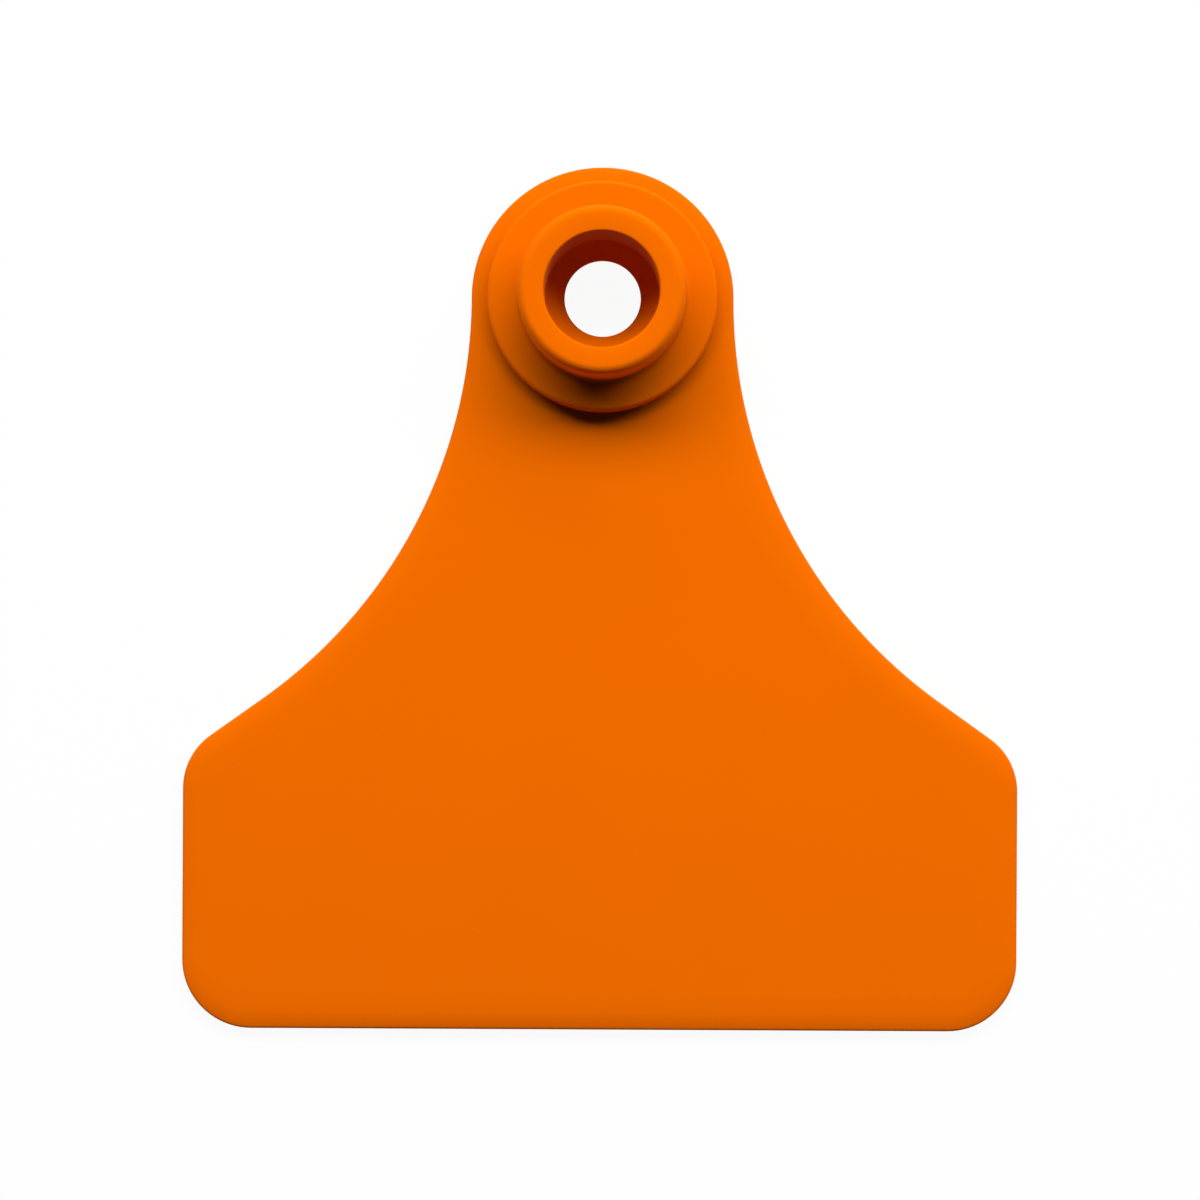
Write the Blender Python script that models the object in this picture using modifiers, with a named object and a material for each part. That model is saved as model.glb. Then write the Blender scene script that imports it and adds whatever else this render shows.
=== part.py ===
"""Livestock ear tag: the female half of a two-piece cattle tag, moulded in one piece of polyurethane.

A flat panel carries the animal's number. The round head above it has a stepped boss, a low disc with a
tall collar on it, and the stud of the other half comes up from the back through the boss: its point
passes the thin lip round the lock hole, spreads over the funnel behind the lip and can't go back. The
collar stands round the point and guards it.

The model is in metres, +Z up. The tag lies on its flat back at z = 0 with its boss up, as it would on a
bench. The origin is in the middle of its outline, and the boss is towards +Y.
"""

import math

import bmesh
import bpy

# Panel, seen from the front
TAG_WIDTH = 0.0750  # over the two straight sides
TAG_HEIGHT = 0.0775  # from the top of the head to the bottom edge
SHOULDER_ANGLE = math.radians(35.5)  # of the straight shoulders, down from the horizontal
SHOULDER_RUN = 0.00715  # from the end of the flank's arc out to the side, measured along X
SIDE_CORNER_RADIUS = 0.0058  # where a shoulder turns into a side
FOOT_CORNER_RADIUS = 0.0062  # the two bottom corners

# Panel, in section
PANEL_THICKNESS = 0.0015
CROWN_WIDTH = 0.0026  # the front face falls away over this width, all round the edge
CROWN_RADIUS = 0.0090  # of that fall
RIM_RADIUS = 0.0003  # rounds the outermost edge, front and back

# Boss, from the lock hole outwards
LOCK_HOLE_DIAMETER = 0.00686
SEAT_WIDTH = 0.00165  # of the funnel that the stud's barb spreads over
COLLAR_WALL = 0.00232  # at the collar's end
DISC_LEDGE = 0.00285  # from the collar's end out to the disc's edge
HEAD_MARGIN = 0.00152  # from the disc's edge out to the edge of the head

# Boss, from the back face upwards
LOCK_LIP = 0.0009  # thickness of the lip round the lock hole
FUNNEL_ANGLE = math.radians(47)  # up from the horizontal
DISC_RISE = 0.0020  # over the panel's face
COLLAR_RISE = 0.0055  # over the disc's face
DRAFT_ANGLE = math.radians(1)  # widens the collar and the disc downwards, to slip out of the mould

# Boss, edges and roots
ENTRY_CHAMFER = 0.0003  # at the back, where the stud enters
MOUTH_CHAMFER = 0.00025  # inner edge of the collar
LIP_RADIUS = 0.00095  # outer edge of the collar
COLLAR_ROOT_RADIUS = 0.0005
DISC_EDGE_RADIUS = 0.0005
DISC_FOOT = 0.00015  # small flare where the disc's wall runs into the panel

# How finely the round shapes are divided
TURNED_STEPS = 72
HEAD_STEP = math.radians(5)
FLANK_STEP = math.radians(2.5)
CORNER_STEP = math.radians(9)
EDGE_STEP = math.radians(18)
CROWN_RINGS = 5

OVERRUN = 0.001  # how far a cutter runs past what it cuts
COLOUR = (0.871, 0.156, 0.002, 1.0)
ROUGHNESS = 0.5

# Worked out from the driving dimensions
OPENING_RADIUS = LOCK_HOLE_DIAMETER / 2 + SEAT_WIDTH
COLLAR_RADIUS = OPENING_RADIUS + COLLAR_WALL
DISC_RADIUS = COLLAR_RADIUS + DISC_LEDGE
HEAD_RADIUS = DISC_RADIUS + HEAD_MARGIN
BOSS_Y = TAG_HEIGHT / 2 - HEAD_RADIUS
DISC_TOP = PANEL_THICKNESS + DISC_RISE
COLLAR_TOP = DISC_TOP + COLLAR_RISE
COLLAR_FOOT_RADIUS = COLLAR_RADIUS + COLLAR_RISE * math.tan(DRAFT_ANGLE)
DISC_FOOT_RADIUS = DISC_RADIUS + DISC_RISE * math.tan(DRAFT_ANGLE)


def clear_scene():
    for obj in list(bpy.data.objects):
        bpy.data.objects.remove(obj, do_unlink=True)


def new_collection(name, hidden=False):
    collection = bpy.data.collections.new(name)
    collection.hide_render = hidden
    bpy.context.scene.collection.children.link(collection)
    return collection


def arc(centre, radius, start, sweep, step):
    """Points along an arc, both ends included. Angles are in radians, anticlockwise from +X."""
    count = max(1, math.ceil(abs(sweep) / step - 1e-6))
    angles = [start + sweep * i / count for i in range(count + 1)]
    return [
        (centre[0] + radius * math.cos(a), centre[1] + radius * math.sin(a))
        for a in angles
    ]


def rounded(before, corner, after, radius, step):
    """Points of the arc that rounds the corner between two straight runs."""
    to_before = math.atan2(before[1] - corner[1], before[0] - corner[0])
    to_after = math.atan2(after[1] - corner[1], after[0] - corner[0])
    opening = (to_after - to_before + math.pi) % math.tau - math.pi
    middle = to_before + opening / 2
    reach = radius / math.sin(abs(opening) / 2)
    centre = (
        corner[0] + reach * math.cos(middle),
        corner[1] + reach * math.sin(middle),
    )
    side = math.copysign(1, opening)
    start = to_before - side * math.pi / 2
    return arc(centre, radius, start, -side * (math.pi - abs(opening)), step)


def half_outline():
    """The right half of the panel's outline, from the top of the head to the middle of the bottom."""
    side_x = TAG_WIDTH / 2
    bottom_y = -TAG_HEIGHT / 2
    flank_end_x = side_x - SHOULDER_RUN
    flank_radius = (flank_end_x - HEAD_RADIUS) / (1 - math.sin(SHOULDER_ANGLE))
    head = arc((0, BOSS_Y), HEAD_RADIUS, math.pi / 2, -math.pi / 2, HEAD_STEP)
    flank = arc(
        (HEAD_RADIUS + flank_radius, BOSS_Y),
        flank_radius,
        math.pi,
        math.pi / 2 - SHOULDER_ANGLE,
        FLANK_STEP,
    )
    shoulder = (side_x, flank[-1][1] - SHOULDER_RUN * math.tan(SHOULDER_ANGLE))
    foot = (side_x, bottom_y)
    side_corner = rounded(
        flank[-1], shoulder, foot, SIDE_CORNER_RADIUS, CORNER_STEP
    )
    foot_radius = min(FOOT_CORNER_RADIUS, side_corner[-1][1] - bottom_y)
    foot_corner = rounded(shoulder, foot, (0, bottom_y), foot_radius, CORNER_STEP)
    return head + flank[1:] + side_corner + foot_corner


def outline():
    """The whole outline, once round. The top point lies on the middle line, so it isn't repeated."""
    right = half_outline()
    left = [(-x, y) for x, y in reversed(right[1:])]
    return right + left


def outline_slab(name, points, low, high):
    """A flat plate of the outline between two heights, as a mesh object."""
    curve = bpy.data.curves.new(name, "CURVE")
    curve.dimensions = "2D"
    curve.fill_mode = "BOTH"
    curve.extrude = (high - low) / 2
    spline = curve.splines.new("POLY")
    spline.points.add(len(points) - 1)
    for point, (x, y) in zip(spline.points, points):
        point.co = (x, y, 0, 1)
    spline.use_cyclic_u = True
    flat = bpy.data.objects.new(name + "_outline", curve)
    flat.location.z = (low + high) / 2
    bpy.context.scene.collection.objects.link(flat)
    graph = bpy.context.evaluated_depsgraph_get()
    mesh = bpy.data.meshes.new_from_object(flat.evaluated_get(graph))
    mesh.transform(flat.matrix_world)
    mesh.name = name
    bpy.data.objects.remove(flat, do_unlink=True)
    return bpy.data.objects.new(name, mesh)


def front_edge_section():
    """(inset, height) of the front edge, from the side wall over the rim's round and up the crown.

    The rim's round and the crown are two arcs that meet without a corner, where both lean by the same
    angle.
    """
    lean = math.asin((CROWN_WIDTH - RIM_RADIUS) / (CROWN_RADIUS - RIM_RADIUS))
    crown_centre = (CROWN_WIDTH, PANEL_THICKNESS - CROWN_RADIUS)
    away = CROWN_RADIUS - RIM_RADIUS
    rim_centre = (
        crown_centre[0] - away * math.sin(lean),
        crown_centre[1] + away * math.cos(lean),
    )
    rim = arc(rim_centre, RIM_RADIUS, math.pi, lean - math.pi / 2, EDGE_STEP)
    crown = arc(
        crown_centre,
        CROWN_RADIUS,
        math.pi / 2 + lean,
        -lean,
        lean / CROWN_RINGS,
    )
    return rim + crown[1:]


def back_edge_section():
    """(inset, height) of the back edge, from the side wall down to the flat back."""
    return arc(
        (RIM_RADIUS, RIM_RADIUS), RIM_RADIUS, math.pi, math.pi / 2, EDGE_STEP
    )


def step_inwards(bm, cap, section):
    """Insets a flat cap ring by ring, so that the edge follows the section."""
    for (inset, height), (next_inset, next_height) in zip(section, section[1:]):
        bmesh.ops.inset_region(
            bm,
            faces=cap,
            thickness=next_inset - inset,
            depth=abs(next_height - height),
            use_boundary=True,
            use_even_offset=True,
        )


def make_panel():
    """The plate with its crowned front edge and its small round at the back."""
    front = front_edge_section()
    back = back_edge_section()
    panel = outline_slab("ear_tag", outline(), back[0][1], front[0][1])
    bm = bmesh.new()
    bm.from_mesh(panel.data)
    bmesh.ops.remove_doubles(bm, verts=bm.verts, dist=1e-6)
    bmesh.ops.recalc_face_normals(bm, faces=bm.faces)
    bm.normal_update()
    front_cap = [face for face in bm.faces if face.normal.z > 0.5]
    back_cap = [face for face in bm.faces if face.normal.z < -0.5]
    step_inwards(bm, front_cap, front)
    step_inwards(bm, back_cap, back)
    bm.to_mesh(panel.data)
    bm.free()
    return panel


def turned(name, profile, collection):
    """A solid turned about the boss's axis. The profile's (radius, height) points run top to bottom."""
    mesh = bpy.data.meshes.new(name)
    points = [(radius, 0, height) for radius, height in profile]
    edges = [(i, i + 1) for i in range(len(points) - 1)]
    mesh.from_pydata(points, edges, [])
    obj = bpy.data.objects.new(name, mesh)
    obj.location.y = BOSS_Y
    obj.display_type = "WIRE"
    obj.hide_render = True
    collection.objects.link(obj)
    screw = obj.modifiers.new("Screw", "SCREW")
    screw.axis = "Z"
    screw.angle = math.tau
    screw.steps = TURNED_STEPS
    screw.render_steps = TURNED_STEPS
    screw.use_merge_vertices = True
    screw.merge_threshold = 1e-6
    return obj


def boss_profile():
    """The boss's outside: collar, its root, the disc, and a flare that sinks into the panel."""
    collar_corner = (COLLAR_RADIUS, COLLAR_TOP)
    root_corner = (COLLAR_FOOT_RADIUS, DISC_TOP)
    disc_corner = (DISC_RADIUS, DISC_TOP)
    foot_corner = (DISC_FOOT_RADIUS, PANEL_THICKNESS)
    sunk = PANEL_THICKNESS / 2
    lip = rounded((0, COLLAR_TOP), collar_corner, root_corner, LIP_RADIUS, EDGE_STEP)
    root = rounded(collar_corner, root_corner, disc_corner, COLLAR_ROOT_RADIUS, EDGE_STEP)
    edge = rounded(root_corner, disc_corner, foot_corner, DISC_EDGE_RADIUS, EDGE_STEP)
    flare = [
        (DISC_FOOT_RADIUS, PANEL_THICKNESS + DISC_FOOT),
        (DISC_FOOT_RADIUS + DISC_FOOT, PANEL_THICKNESS - DISC_FOOT),
        (DISC_FOOT_RADIUS + DISC_FOOT, sunk),
    ]
    return [(0, COLLAR_TOP)] + lip + root + edge + flare + [(0, sunk)]


def bore_profile():
    """The bore's surface: chamfered mouth, straight wall, funnel, lock hole and entry chamfer.

    Both chamfers run on at 45 degrees past the faces that they break, so that no edge of the cutter
    lies in the collar's end or in the back.
    """
    lock_radius = LOCK_HOLE_DIAMETER / 2
    return [
        (0, COLLAR_TOP + OVERRUN),
        (OPENING_RADIUS + MOUTH_CHAMFER + OVERRUN, COLLAR_TOP + OVERRUN),
        (OPENING_RADIUS, COLLAR_TOP - MOUTH_CHAMFER),
        (OPENING_RADIUS, LOCK_LIP + SEAT_WIDTH * math.tan(FUNNEL_ANGLE)),
        (lock_radius, LOCK_LIP),
        (lock_radius, ENTRY_CHAMFER),
        (lock_radius + ENTRY_CHAMFER + OVERRUN, -OVERRUN),
        (0, -OVERRUN),
    ]


def boolean(obj, operation, other):
    modifier = obj.modifiers.new(f"{operation.title()} {other.name}", "BOOLEAN")
    modifier.operation = operation
    modifier.solver = "EXACT"
    modifier.object = other


def moulded_polyurethane():
    material = bpy.data.materials.new("orange_polyurethane")
    material.use_nodes = True
    shader = material.node_tree.nodes["Principled BSDF"]
    shader.inputs["Base Color"].default_value = COLOUR
    shader.inputs["Roughness"].default_value = ROUGHNESS
    shader.inputs["Metallic"].default_value = 0.0
    return material


def main():
    clear_scene()
    parts = new_collection("livestock_ear_tag")
    helpers = new_collection("cutters", hidden=True)
    tag = make_panel()
    parts.objects.link(tag)
    boolean(tag, "UNION", turned("boss", boss_profile(), helpers))
    boolean(tag, "DIFFERENCE", turned("bore", bore_profile(), helpers))
    tag.data.materials.append(moulded_polyurethane())
    tag.data.shade_smooth()
    tag.data.set_sharp_from_angle(angle=math.radians(30))


main()
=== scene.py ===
# %% [markdown]
# # A livestock ear tag in moulded polyurethane
#
# The real tag is the female half of a pair. It is injection moulded in one shot of soft, tough
# polyurethane: a flat panel for the animal's number, and above it a round head with a stepped boss
# that the other half's stud snaps into.
#
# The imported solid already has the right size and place, but its curves are made of flats. This lesson
# models the same moulding finely enough for a close-up: arcs that look round, edges with the small
# radii that a mould leaves, and a surface with a fine satin grain.

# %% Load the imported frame
import math

import bmesh
import bpy
from mathutils import Matrix, Vector
from mathutils.bvhtree import BVHTree


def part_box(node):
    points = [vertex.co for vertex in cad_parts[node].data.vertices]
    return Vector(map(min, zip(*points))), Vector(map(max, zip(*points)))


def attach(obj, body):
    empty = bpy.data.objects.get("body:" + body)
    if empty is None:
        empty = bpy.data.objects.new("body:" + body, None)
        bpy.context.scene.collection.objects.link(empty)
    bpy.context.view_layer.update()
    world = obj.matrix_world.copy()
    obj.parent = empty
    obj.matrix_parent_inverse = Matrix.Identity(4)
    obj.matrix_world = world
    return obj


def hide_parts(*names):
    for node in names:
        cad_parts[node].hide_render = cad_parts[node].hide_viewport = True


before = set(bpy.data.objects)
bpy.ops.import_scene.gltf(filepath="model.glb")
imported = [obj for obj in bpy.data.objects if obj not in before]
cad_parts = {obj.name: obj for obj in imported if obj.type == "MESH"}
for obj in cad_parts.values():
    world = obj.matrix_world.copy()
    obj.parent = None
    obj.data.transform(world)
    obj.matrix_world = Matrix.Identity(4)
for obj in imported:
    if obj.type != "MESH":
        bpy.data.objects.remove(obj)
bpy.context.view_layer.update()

MM = 0.001


def in_mm(point):
    """A point's coordinates in millimetres, rounded for printing."""
    return tuple(round(value / MM, 2) for value in point)


# %% [markdown]
# ## Overall sizes
#
# A moulded part is drawn from a few driving sizes. The three overall ones are read from the packed
# solid, so the fine model can't drift away from it. The panel's thickness and the head's circle follow,
# because several steps need them. All sizes are in metres, and each later step brings its own.

# %% Overall sizes
solid_low, solid_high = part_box("ear_tag")
TAG_WIDTH = solid_high.x - solid_low.x
TAG_HEIGHT = solid_high.y - solid_low.y
COLLAR_TOP = solid_high.z

PANEL_THICKNESS = 1.5 * MM
HEAD_RADIUS = 11.77 * MM
BOSS_Y = TAG_HEIGHT / 2 - HEAD_RADIUS  # the head and the boss share one axis

print(f"tag {TAG_WIDTH / MM:.2f} x {TAG_HEIGHT / MM:.2f} x {COLLAR_TOP / MM:.2f} mm")

# %% [markdown]
# ## Drawing a line with bmesh
#
# A bmesh can be drawn like a pencil line. `extrude_vert_indiv` pulls a new point out of the line's
# open end, which gives a straight run, and `spin` turns the open end about a centre, which gives an
# arc. With these two operators an outline needs only its corners and radii, and no list of points.

# %% Pencil helpers


def straight(bm, end, to):
    """Carries a line's open end straight on to a point, and returns the new end."""
    new_end = bmesh.ops.extrude_vert_indiv(bm, verts=[end])["verts"][0]
    new_end.co = Vector(to)
    return new_end


def turn(bm, end, centre, axis, angle, steps):
    """Carries a line's open end round a centre, and returns the new end."""
    arc = bmesh.ops.spin(
        bm, geom=[end], cent=centre, axis=axis, angle=angle, steps=steps, use_duplicate=False
    )
    return next(item for item in arc["geom_last"] if isinstance(item, bmesh.types.BMVert))


def round_corner(bm, end, corner, after, radius, steps):
    """Runs straight towards a corner and goes round it on an arc, ready to go on to the point after."""
    corner = Vector(corner)
    back = (end.co - corner).normalized()
    onward = (Vector(after) - corner).normalized()
    half_opening = back.angle(onward) / 2
    arc_start = corner + back * (radius / math.tan(half_opening))
    centre = corner + (back + onward).normalized() * (radius / math.sin(half_opening))
    end = straight(bm, end, arc_start)
    return turn(bm, end, centre, onward.cross(back), math.pi - 2 * half_opening, steps)


# %% [markdown]
# ## The outline
#
# Seen from the front the tag is symmetric, so only its right half is drawn: a quarter of the round
# head, a wide arc down the flank, a short straight shoulder, and two rounded corners. `mirror` makes
# the left half and merges the two on the middle line. The flank's arc starts straight below the head,
# and its radius is whatever makes it meet the shoulder at the shoulder's own angle.

# %% Draw the outline as one face
SHOULDER_ANGLE = math.radians(35.5)  # of the straight shoulders, down from the horizontal
SHOULDER_RUN = 7.15 * MM  # from the end of the flank's arc out to the side
SIDE_CORNER_RADIUS = 5.8 * MM
FOOT_CORNER_RADIUS = 6.2 * MM
HEAD_STEPS = 48
FLANK_STEPS = 56
CORNER_STEPS = 20
MERGE_DISTANCE = 0.001 * MM  # points closer than this are one point


def outline_face(bm, height):
    """The panel's outline as a single flat face at a height, facing up."""
    up = Vector((0, 0, 1))
    side_x = TAG_WIDTH / 2
    bottom_y = -TAG_HEIGHT / 2
    flank_radius = (side_x - SHOULDER_RUN - HEAD_RADIUS) / (1 - math.sin(SHOULDER_ANGLE))
    end = bm.verts.new((0, BOSS_Y + HEAD_RADIUS, height))
    end = turn(bm, end, (0, BOSS_Y, height), up, -math.pi / 2, HEAD_STEPS)
    flank_centre = (HEAD_RADIUS + flank_radius, BOSS_Y, height)
    end = turn(bm, end, flank_centre, up, math.pi / 2 - SHOULDER_ANGLE, FLANK_STEPS)
    shoulder_y = end.co.y - SHOULDER_RUN * math.tan(SHOULDER_ANGLE)
    shoulder = (side_x, shoulder_y, height)
    foot = (side_x, bottom_y, height)
    middle = (0, bottom_y, height)
    end = round_corner(bm, end, shoulder, foot, SIDE_CORNER_RADIUS, CORNER_STEPS)
    end = round_corner(bm, end, foot, middle, FOOT_CORNER_RADIUS, CORNER_STEPS)
    straight(bm, end, middle)
    half = bm.verts[:] + bm.edges[:]
    bmesh.ops.mirror(bm, geom=half, matrix=Matrix(), merge_dist=MERGE_DISTANCE, axis="X")
    bmesh.ops.remove_doubles(bm, verts=bm.verts, dist=MERGE_DISTANCE)
    face = bmesh.ops.contextual_create(bm, geom=bm.edges[:])["faces"][0]
    face.normal_update()
    if face.normal.z < 0:
        face.normal_flip()
    return face


# %% [markdown]
# ## The crowned edge
#
# A tag that rubs on skin and branches has no sharp edge. On the front the face begins to fall three
# millimetres from the edge, first very gently and then faster, and at last turns over a small round
# into the side. The back has the small round alone. In section the front is three arcs, easing, crown
# and rim, that share a tangent where they meet, so no line shows where one ends. A Bevel modifier
# would make one round of one radius only.

# %% The edge in section
CROWN_WIDTH = 3.3 * MM  # from the side to where the front is flat
EASING_RADIUS = 30.0 * MM  # of the gentle fall next to the flat
EASING_LEAN = math.radians(3.5)  # how steep that fall is where the crown takes over
CROWN_RADIUS = 7.0 * MM
RIM_RADIUS = 0.3 * MM  # of the outermost round, front and back
CROWN_RINGS = 8
RIM_RINGS = 6


def arc_section(centre, radius, start, sweep, steps):
    """(inset, height) pairs along an arc, both ends included."""
    angles = [start + sweep * i / steps for i in range(steps + 1)]
    return [(centre[0] + radius * math.cos(a), centre[1] + radius * math.sin(a)) for a in angles]


def leaning(centre, reach, lean):
    """The point at a distance from a centre, straight up but for a lean towards the edge."""
    return (centre[0] - reach * math.sin(lean), centre[1] + reach * math.cos(lean))


def front_edge():
    """From the side wall over the rim's round, the crown and its easing, to where the face is flat."""
    upright = math.pi / 2
    easing_centre = (CROWN_WIDTH, PANEL_THICKNESS - EASING_RADIUS)
    crown_centre = leaning(easing_centre, EASING_RADIUS - CROWN_RADIUS, EASING_LEAN)
    reach = CROWN_RADIUS - RIM_RADIUS
    lean = math.asin((crown_centre[0] - RIM_RADIUS) / reach)
    rim_centre = leaning(crown_centre, reach, lean)
    rim = arc_section(rim_centre, RIM_RADIUS, math.pi, lean - upright, RIM_RINGS)
    crown = arc_section(crown_centre, CROWN_RADIUS, upright + lean, EASING_LEAN - lean, CROWN_RINGS)
    easing = arc_section(easing_centre, EASING_RADIUS, upright + EASING_LEAN, -EASING_LEAN, CROWN_RINGS)
    return rim + crown[1:] + easing[1:]


def back_edge():
    """From the side wall down over the back's small round to the flat back."""
    return arc_section((RIM_RADIUS, RIM_RADIUS), RIM_RADIUS, math.pi, math.pi / 2, RIM_RINGS)


print(f"the side's upright wall reaches up to {front_edge()[0][1] / MM:.2f} mm")

# %% [markdown]
# ## The panel
#
# The outline face is lifted into a thin slab, and then each flat cap is inset ring by ring. Each ring
# is as wide and as high as one step of the section, so the arcs run round the whole outline, through
# the hollow flanks and the tight corners alike.

# %% Build the panel


def inset_along(bm, cap, section):
    """Insets a flat cap once for each step of a section, so that its edge takes the section's form."""
    for (inset, height), (next_inset, next_height) in zip(section, section[1:]):
        bmesh.ops.inset_region(
            bm,
            faces=[cap],
            thickness=next_inset - inset,
            depth=abs(next_height - height),
            use_boundary=True,
            use_even_offset=True,
        )


def build_panel(bm):
    front, back = front_edge(), back_edge()
    bottom = outline_face(bm, back[0][1])
    grown = bmesh.ops.extrude_face_region(bm, geom=[bottom], use_keep_orig=True)["geom"]
    lifted = [item for item in grown if isinstance(item, bmesh.types.BMVert)]
    bmesh.ops.translate(bm, verts=lifted, vec=(0, 0, front[0][1] - back[0][1]))
    bmesh.ops.recalc_face_normals(bm, faces=bm.faces)
    caps = [face for face in bm.faces if len(face.verts) > 4]
    caps.sort(key=lambda face: face.calc_center_median().z)
    inset_along(bm, caps[0], back)
    inset_along(bm, caps[-1], front)


def new_piece(name, build):
    """A mesh object whose shape a function builds in an empty bmesh."""
    bm = bmesh.new()
    build(bm)
    mesh = bpy.data.meshes.new(name)
    bm.to_mesh(mesh)
    bm.free()
    piece = bpy.data.objects.new(name, mesh)
    bpy.context.scene.collection.objects.link(piece)
    return piece


tag = new_piece("moulded_tag", build_panel)
print("panel:", len(tag.data.vertices), "vertices,", len(tag.data.polygons), "faces")

# %% [markdown]
# ## The boss with its bore
#
# The boss is a turned form: a low disc, a tall collar, and through them a bore that narrows in a
# funnel to the lock hole. Its whole section is one closed line, so it is drawn once with the pencil
# helpers and spun about the boss's axis. A bore cut by a Boolean would leave its edges sharp, and here
# each of them has its own small radius. The line starts on the collar's end face, goes down the
# outside, in along the back and up through the bore.

# %% Sizes of the boss
LOCK_HOLE_RADIUS = 3.43 * MM
OPENING_RADIUS = 5.08 * MM
COLLAR_RADIUS = 7.40 * MM
DISC_RADIUS = 10.25 * MM

LOCK_LIP = 0.9 * MM  # thickness of the lip round the lock hole
FUNNEL_ANGLE = math.radians(47)
DISC_TOP = 3.5 * MM
DRAFT_ANGLE = math.radians(1)  # widens the collar and the disc downwards, to slip out of the mould

ENTRY_RADIUS = 0.30 * MM  # where the stud enters, at the back
LIP_EDGE_RADIUS = 0.12 * MM  # between the lock hole and the funnel
FUNNEL_TOP_RADIUS = 0.5 * MM
MOUTH_RADIUS = 0.18 * MM  # inner edge of the collar
COLLAR_LIP_RADIUS = 0.74 * MM
COLLAR_ROOT_RADIUS = 0.5 * MM
DISC_EDGE_RADIUS = 0.35 * MM
DISC_FOOT_RADIUS = 0.12 * MM

print(f"lock hole {2 * LOCK_HOLE_RADIUS / MM:.2f} mm, opening {2 * OPENING_RADIUS / MM:.2f} mm")

# %% Draw the section and spin it
BOSS_STEPS = 144
SMALL_STEPS = 5
LIP_STEPS = 10


def at(radius, height):
    """A point of the boss's section, from its radius and height."""
    return Vector((radius, BOSS_Y, height))


def build_boss(bm):
    disc_foot = DISC_RADIUS + (DISC_TOP - PANEL_THICKNESS) * math.tan(DRAFT_ANGLE)
    foot_radius = disc_foot + DISC_FOOT_RADIUS
    collar_foot = COLLAR_RADIUS + (COLLAR_TOP - DISC_TOP) * math.tan(DRAFT_ANGLE)
    funnel_top = LOCK_LIP + (OPENING_RADIUS - LOCK_HOLE_RADIUS) * math.tan(FUNNEL_ANGLE)
    corners = [
        (at(COLLAR_RADIUS, COLLAR_TOP), COLLAR_LIP_RADIUS, LIP_STEPS),
        (at(collar_foot, DISC_TOP), COLLAR_ROOT_RADIUS, LIP_STEPS),
        (at(DISC_RADIUS, DISC_TOP), DISC_EDGE_RADIUS, SMALL_STEPS),
        (at(disc_foot, PANEL_THICKNESS), DISC_FOOT_RADIUS, SMALL_STEPS),
        (at(foot_radius + DISC_FOOT_RADIUS, PANEL_THICKNESS - 2 * DISC_FOOT_RADIUS), 0, 0),
        (at(foot_radius + DISC_FOOT_RADIUS, 0), 0, 0),
        (at(LOCK_HOLE_RADIUS, 0), ENTRY_RADIUS, SMALL_STEPS),
        (at(LOCK_HOLE_RADIUS, LOCK_LIP), LIP_EDGE_RADIUS, SMALL_STEPS),
        (at(OPENING_RADIUS, funnel_top), FUNNEL_TOP_RADIUS, SMALL_STEPS),
        (at(OPENING_RADIUS, COLLAR_TOP), MOUTH_RADIUS, SMALL_STEPS),
    ]
    start = bm.verts.new(at((OPENING_RADIUS + COLLAR_RADIUS) / 2, COLLAR_TOP))
    end = start
    followers = [corner for corner, _, _ in corners[1:]] + [start.co.copy()]
    for (corner, radius, steps), after in zip(corners, followers):
        if radius:
            end = round_corner(bm, end, corner, after, radius, steps)
        else:
            end = straight(bm, end, corner)
    bm.edges.new((end, start))
    bmesh.ops.spin(
        bm,
        geom=bm.verts[:] + bm.edges[:],
        cent=at(0, 0),
        axis=(0, 0, 1),
        angle=math.tau,
        steps=BOSS_STEPS,
        use_merge=True,
        use_duplicate=False,
    )
    bmesh.ops.remove_doubles(bm, verts=bm.verts, dist=MERGE_DISTANCE)
    bmesh.ops.recalc_face_normals(bm, faces=bm.faces)


boss = new_piece("boss", build_boss)
print("boss:", len(boss.data.vertices), "vertices,", len(boss.data.polygons), "faces")

# %% [markdown]
# ## One moulding
#
# In the mould the molten plastic fills panel and boss at once, so there is no seam between them. Two
# Boolean modifiers make them one mesh: the first bores a plain hole through the panel, under the disc,
# and the second unites the panel with the boss, whose own bore fills that hole. The only edge that the
# union makes is the fine line where the disc's foot meets the panel.

# %% Join the panel and the boss
CLEARANCE_RADIUS = (OPENING_RADIUS + DISC_RADIUS) / 2


def build_clearance(bm):
    """A plain cylinder that reaches right through the panel, inside the disc's footprint."""
    bmesh.ops.create_cone(
        bm,
        cap_ends=True,
        segments=BOSS_STEPS,
        radius1=CLEARANCE_RADIUS,
        radius2=CLEARANCE_RADIUS,
        depth=4 * PANEL_THICKNESS,
        matrix=Matrix.Translation(at(0, 0)),
    )


def apply_boolean(piece, operation, other):
    """Applies a Boolean with another piece, which is then removed."""
    modifier = piece.modifiers.new(operation, "BOOLEAN")
    modifier.operation = operation
    modifier.solver = "EXACT"
    modifier.object = other
    graph = bpy.context.evaluated_depsgraph_get()
    joined = bpy.data.meshes.new_from_object(piece.evaluated_get(graph))
    piece.modifiers.clear()
    piece.data = joined
    bpy.data.objects.remove(other, do_unlink=True)
    print(operation.lower(), "leaves", len(joined.polygons), "faces")


apply_boolean(tag, "DIFFERENCE", new_piece("clearance", build_clearance))
apply_boolean(tag, "UNION", boss)

# %% [markdown]
# ## Smooth shading
#
# The mesh is fine, but it is still made of flats, so it is shaded smooth. Smooth shading blends the
# normals at each vertex, and next to a big flat face that blend would stain the flat with a soft
# smear. The Weighted Normal modifier lets big faces decide, so the panel stays flat up to its crown,
# and the only edge kept sharp is the fine line at the disc's foot.

# %% Clean and shade
SHARP_ANGLE = math.radians(28)

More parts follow.
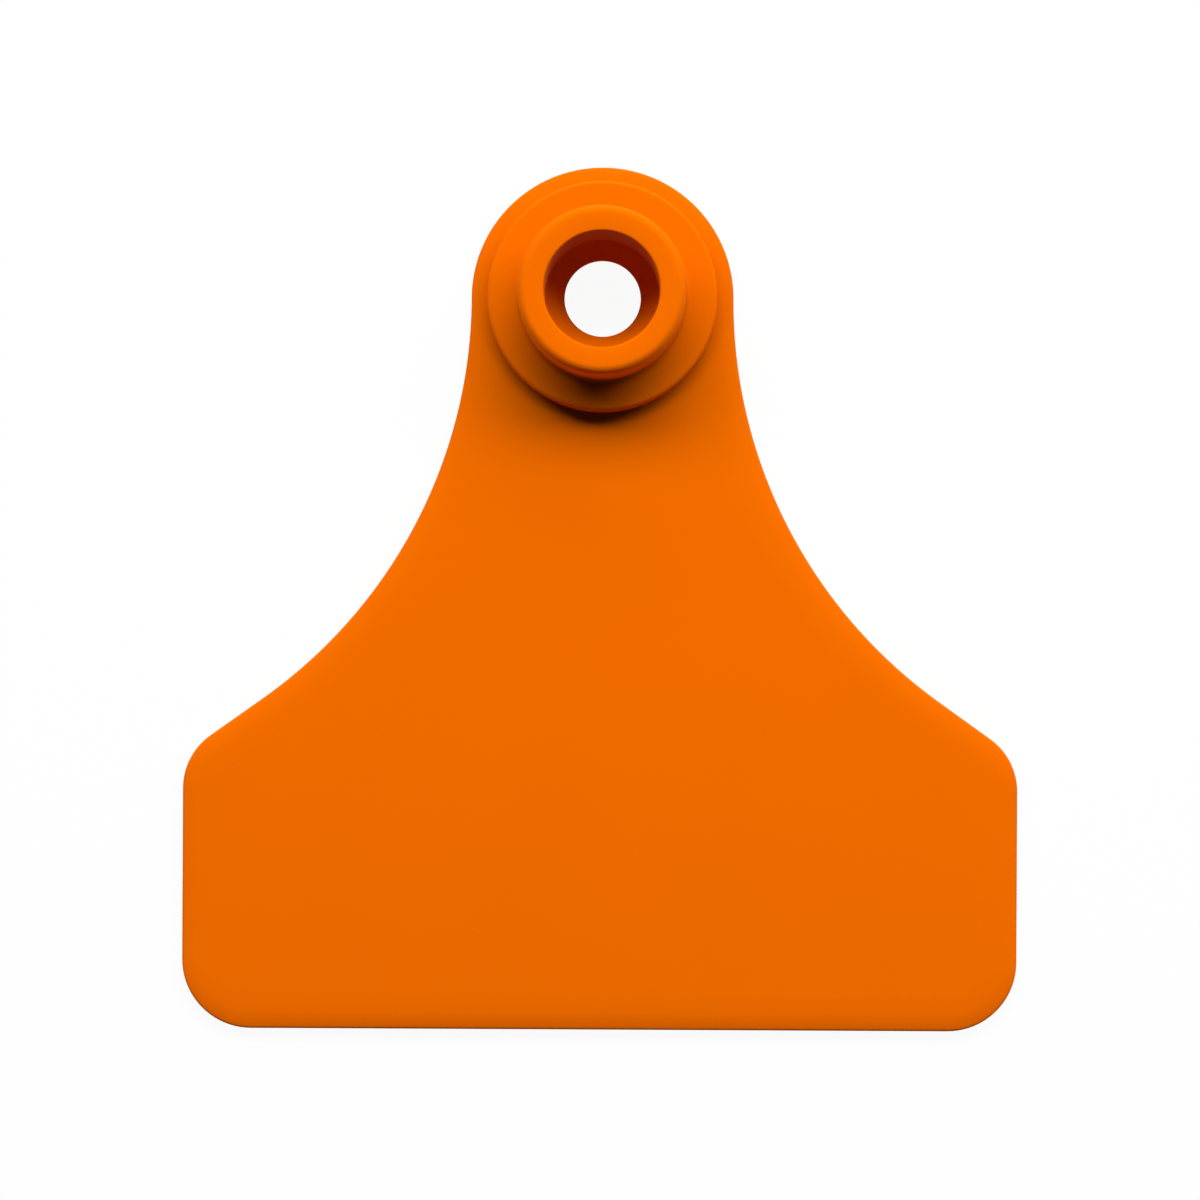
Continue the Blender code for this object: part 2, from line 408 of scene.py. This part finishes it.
bm = bmesh.new()
bm.from_mesh(tag.data)
bmesh.ops.dissolve_degenerate(bm, dist=MERGE_DISTANCE, edges=bm.edges)
print("open edges:", sum(1 for edge in bm.edges if len(edge.link_faces) != 2))
print(f"volume: {bm.calc_volume() / MM**3:.0f} mm3")
bm.to_mesh(tag.data)
bm.free()

tag.data.shade_smooth()
tag.data.set_sharp_from_angle(angle=SHARP_ANGLE)
weighted = tag.modifiers.new("Weighted Normal", "WEIGHTED_NORMAL")
weighted.keep_sharp = True

# %% [markdown]
# ## Does it still match the solid?
#
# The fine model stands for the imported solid, which carries the tag's weight and contact. A tree of the
# solid's faces gives the distance from each of our vertices to the solid. The largest should be about a
# tenth of a millimetre: the solid is made of flats, and its lip and crown are a little rounder.

# %% Measure the fine model against the solid
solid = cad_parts["ear_tag"].data
corners = [vertex.co for vertex in solid.vertices]
solid_faces = BVHTree.FromPolygons(corners, [face.vertices[:] for face in solid.polygons])
gaps = [solid_faces.find_nearest(vertex.co)[3] for vertex in tag.data.vertices]
print(f"furthest from the solid: {max(gaps) / MM:.3f} mm")

# %% [markdown]
# ## Polyurethane
#
# The real plastic is a thermoplastic polyurethane, coloured all through and moulded in a steel mould
# with a spark-eroded finish. To the eye it is a deep, even orange with a satin sheen and no mirror
# image. A plain colour would look like paper or paint. What makes it look moulded is small: a faint
# drift of the colour where the melt flowed, and a grain too fine to see that spreads every highlight.
# The photograph shows hardly any sheen, and what there is has the plastic's own hue, so the sheen here
# is much weaker than the usual level of 0.5, and tinted.

# %% Material helpers


def linear(hex_colour):
    """An sRGB hex colour as the linear colour that a shader takes."""
    channels = [int(hex_colour[i : i + 2], 16) / 255 for i in (1, 3, 5)]
    return [c / 12.92 if c <= 0.04045 else ((c + 0.055) / 1.055) ** 2.4 for c in channels] + [1.0]


def add_node(tree, kind, inputs=None, **settings):
    """Adds a node. Its inputs are given values, or outputs of other nodes to link to."""
    node = tree.nodes.new(kind)
    for name, value in settings.items():
        setattr(node, name, value)
    for name, value in (inputs or {}).items():
        if isinstance(value, bpy.types.NodeSocket):
            tree.links.new(value, node.inputs[name])
        else:
            node.inputs[name].default_value = value
    return node


def scale_for(feature_size):
    """The scale that gives a procedural pattern features of about this size."""
    return 1 / feature_size


WHITE = linear("#FFFFFF")

# %% Satin polyurethane
DRIFT_SIZE = 14.0 * MM  # of the drifts that the melt leaves
DRIFT_DETAIL = 2.0
DEEP_ORANGE = "#E46600"
LIGHT_ORANGE = "#E86800"
GRAIN_SIZE = 0.3 * MM  # the real one is about 0.05 mm, finer than a pixel here
GRAIN_DETAIL = 3.0
GRAIN_DEPTH = 0.01 * MM
GRAIN_STRENGTH = 0.25
SMOOTHEST, ROUGHEST = 0.58, 0.70  # a spark-eroded finish scatters widely
PLASTIC_IOR = 1.5
SHEEN_LEVEL = 0.02
SHEEN_TINT = "#FF7A14"


def satin_polyurethane():
    """Pigmented thermoplastic polyurethane off a spark-eroded mould: even, deep colour, satin sheen."""
    material = bpy.data.materials.new("satin_polyurethane")
    material.use_nodes = True
    tree = material.node_tree
    shader = tree.nodes["Principled BSDF"]
    place = add_node(tree, "ShaderNodeTexCoord").outputs["Object"]

    # The melt runs down from the head and leaves very slight drifts of colour.
    flow = add_node(
        tree,
        "ShaderNodeTexNoise",
        {"Vector": place, "Scale": scale_for(DRIFT_SIZE), "Detail": DRIFT_DETAIL},
    )
    drift = add_node(
        tree,
        "ShaderNodeMix",
        {"Factor": flow.outputs["Fac"], "A": linear(DEEP_ORANGE), "B": linear(LIGHT_ORANGE)},
        data_type="RGBA",
    )
    tree.links.new(drift.outputs["Result"], shader.inputs["Base Color"])

    # The mould's grain stands out as a fine bump, and its peaks are a little rougher than its pits.
    grain = add_node(
        tree,
        "ShaderNodeTexNoise",
        {"Vector": place, "Scale": scale_for(GRAIN_SIZE), "Detail": GRAIN_DETAIL},
    )
    bump = add_node(
        tree,
        "ShaderNodeBump",
        {"Height": grain.outputs["Fac"], "Strength": GRAIN_STRENGTH, "Distance": GRAIN_DEPTH},
    )
    tree.links.new(bump.outputs["Normal"], shader.inputs["Normal"])
    satin = add_node(
        tree,
        "ShaderNodeMapRange",
        {"Value": grain.outputs["Fac"], "To Min": SMOOTHEST, "To Max": ROUGHEST},
    )
    tree.links.new(satin.outputs["Result"], shader.inputs["Roughness"])

    shader.inputs["IOR"].default_value = PLASTIC_IOR
    shader.inputs["Specular IOR Level"].default_value = SHEEN_LEVEL
    shader.inputs["Specular Tint"].default_value = linear(SHEEN_TINT)
    return material


# %% Dress the tag and stand it in for the solid
tag.data.materials.clear()
tag.data.materials.append(satin_polyurethane())
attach(tag, "root")
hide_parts("ear_tag")
print("the tag wears", tag.data.materials[0].name)

# %% [markdown]
# ## Camera
#
# The tag lies face up, and the photograph looks straight down on it from a hand's reach away. The head
# stands well above the middle of the picture, so the collar is seen a little from below the head, and
# its shift against the disc gives the camera's height. Its mouth is also a pixel further left than the
# lock hole, so the camera stood slightly to the right, and the lens shift keeps the tag in its place.

# %% Place the camera
IMAGE_PIXELS = 1200
TAG_PIXELS = 831.0  # the tag's width in the photograph
BOSS_PIXEL = (602.7, 299.8)  # where the boss's axis meets the back
TILT = math.radians(0.29)  # the tag lies this much clockwise in the photograph
CAMERA_HEIGHT = 0.256
CAMERA_ASIDE = 0.0025  # to the right of the boss's axis

pixel = TAG_WIDTH / TAG_PIXELS
camera = bpy.data.objects.new("camera", bpy.data.cameras.new("camera"))
bpy.context.scene.collection.objects.link(camera)
camera.data.lens = camera.data.sensor_width * CAMERA_HEIGHT / (IMAGE_PIXELS * pixel)
boss_in_view = Vector((BOSS_PIXEL[0] - IMAGE_PIXELS / 2, IMAGE_PIXELS / 2 - BOSS_PIXEL[1], 0)) * pixel
turned = Matrix.Rotation(TILT, 4, "Z")
camera.location = Vector((CAMERA_ASIDE, BOSS_Y, CAMERA_HEIGHT)) - turned @ boss_in_view
camera.data.shift_x = -CAMERA_ASIDE / (IMAGE_PIXELS * pixel)
camera.rotation_euler = turned.to_euler()
bpy.context.scene.camera = camera
print(f"lens {camera.data.lens:.1f} mm, camera at", in_mm(camera.location), "mm")

# %% [markdown]
# ## Light
#
# The shadows under the collar and the disc are deep at their roots and fade over several
# millimetres, and they point towards the panel. That is one long softbox above the head's end, about
# halfway up the sky. A faint shadow reaches much further down the panel, so some light also comes in
# low, from a weak strip. An even fill does the rest.
#
# Light that an orange wall sends to an orange wall comes back redder, and more so with each bounce. The
# photograph shows a bore that is lit by the first bounce and hardly redder than the panel, so one
# bounce is traced and the others are left out.

# %% Place the lamps


def softbox(name, azimuth, elevation, distance, width, height, watts):
    """A rectangular lamp aimed at the tag. Azimuth is measured clockwise from the head's end."""
    lamp = bpy.data.lights.new(name, "AREA")
    lamp.shape = "RECTANGLE"
    lamp.size, lamp.size_y, lamp.energy = width, height, watts
    holder = bpy.data.objects.new(name, lamp)
    across, up = math.radians(azimuth), math.radians(elevation)
    away = Vector((math.sin(across) * math.cos(up), math.cos(across) * math.cos(up), math.sin(up)))
    holder.location = away * distance
    holder.rotation_euler = away.to_track_quat("Z", "Y").to_euler()
    bpy.context.scene.collection.objects.link(holder)
    return holder


key = softbox("key_softbox", azimuth=4, elevation=47, distance=0.75, width=1.70, height=0.30, watts=12.8)
low = softbox("low_strip", azimuth=18, elevation=21, distance=0.75, width=0.90, height=0.20, watts=1.9)
print("key at", in_mm(key.location), "mm, low strip at", in_mm(low.location), "mm")

# %% Fill from all round, and a white backdrop
FILL_STRENGTH = 0.025

world = bpy.data.worlds.new("studio")
bpy.context.scene.world = world
world.use_nodes = True


def seen_directly(tree):
    """1 for what the eye, a reflection or glass shows, and 0 for the light that falls on things."""
    path = add_node(tree, "ShaderNodeLightPath").outputs
    seen = path["Is Camera Ray"]
    for ray in ("Is Glossy Ray", "Is Transmission Ray"):
        either = add_node(tree, "ShaderNodeMath", {0: seen, 1: path[ray]}, operation="MAXIMUM")
        seen = either.outputs["Value"]
    return seen


def light_studio(world):
    tree = world.node_tree
    fill = tree.nodes["Background"]
    fill.inputs["Color"].default_value = WHITE
    fill.inputs["Strength"].default_value = FILL_STRENGTH
    backdrop = add_node(tree, "ShaderNodeBackground", {"Color": WHITE, "Strength": 1.0})
    chosen = add_node(
        tree,
        "ShaderNodeMixShader",
        {0: seen_directly(tree), 1: fill.outputs["Background"], 2: backdrop.outputs["Background"]},
    )
    tree.links.new(chosen.outputs["Shader"], tree.nodes["World Output"].inputs["Surface"])


light_studio(world)
bpy.context.scene.cycles.diffuse_bounces = 1
print(f"fill {FILL_STRENGTH}, backdrop 1.0 where it is seen")

# %% [markdown]
# ## Floor
#
# The tag lies on a plain white table. White paper under a softbox photographs as light grey, so the
# floor adds a glow of its own, which only the camera sees and which throws no light on the tag. Near
# the tag some of the paper shows through the glow and takes the tag's shadow. Further out the glow
# takes over, so that the table has no visible end.

# %% Lay the floor
PAPER_WHITE = "#F0F0F0"
FLOOR_REACH = 3.0
FLOOR_DROP = 0.02 * MM  # keeps the floor clear of the tag's back
GLOW_SHARE = 0.94  # of what the camera sees near the tag
ALL_GLOW_FROM, ALL_GLOW_AT = 0.06, 0.25  # distances from the tag between which the paper fades out


def white_table():
    material = bpy.data.materials.new("white_table")
    material.use_nodes = True
    tree = material.node_tree
    tree.nodes.clear()
    paper = add_node(tree, "ShaderNodeBsdfDiffuse", {"Color": linear(PAPER_WHITE)})
    glow = add_node(tree, "ShaderNodeEmission", {"Color": WHITE, "Strength": 1.0})
    place = add_node(tree, "ShaderNodeTexCoord").outputs["Object"]
    away = add_node(tree, "ShaderNodeVectorMath", {0: place}, operation="LENGTH")
    share = add_node(
        tree,
        "ShaderNodeMapRange",
        {
            "Value": away.outputs["Value"],
            "From Min": ALL_GLOW_FROM,
            "From Max": ALL_GLOW_AT,
            "To Min": GLOW_SHARE,
            "To Max": 1.0,
        },
    )
    seen_share = add_node(
        tree,
        "ShaderNodeMath",
        {0: seen_directly(tree), 1: share.outputs["Result"]},
        operation="MULTIPLY",
    )
    surface = add_node(
        tree,
        "ShaderNodeMixShader",
        {0: seen_share.outputs["Value"], 1: paper.outputs["BSDF"], 2: glow.outputs["Emission"]},
    )
    add_node(tree, "ShaderNodeOutputMaterial", {"Surface": surface.outputs["Shader"]})
    return material


def build_floor(bm):
    level = Matrix.Translation((0, 0, -FLOOR_DROP))
    bmesh.ops.create_grid(bm, x_segments=1, y_segments=1, size=FLOOR_REACH, matrix=level)


floor = new_piece("floor", build_floor)
floor.data.materials.append(white_table())
print(f"floor {2 * FLOOR_REACH:.0f} m wide, {FLOOR_DROP / MM:.2f} mm below the tag's back")

# %% [markdown]
# ## View settings
#
# The Standard view shows each colour as it is written, which a filmic one would soften.

# %% Finish
bpy.context.scene.view_settings.view_transform = "Standard"
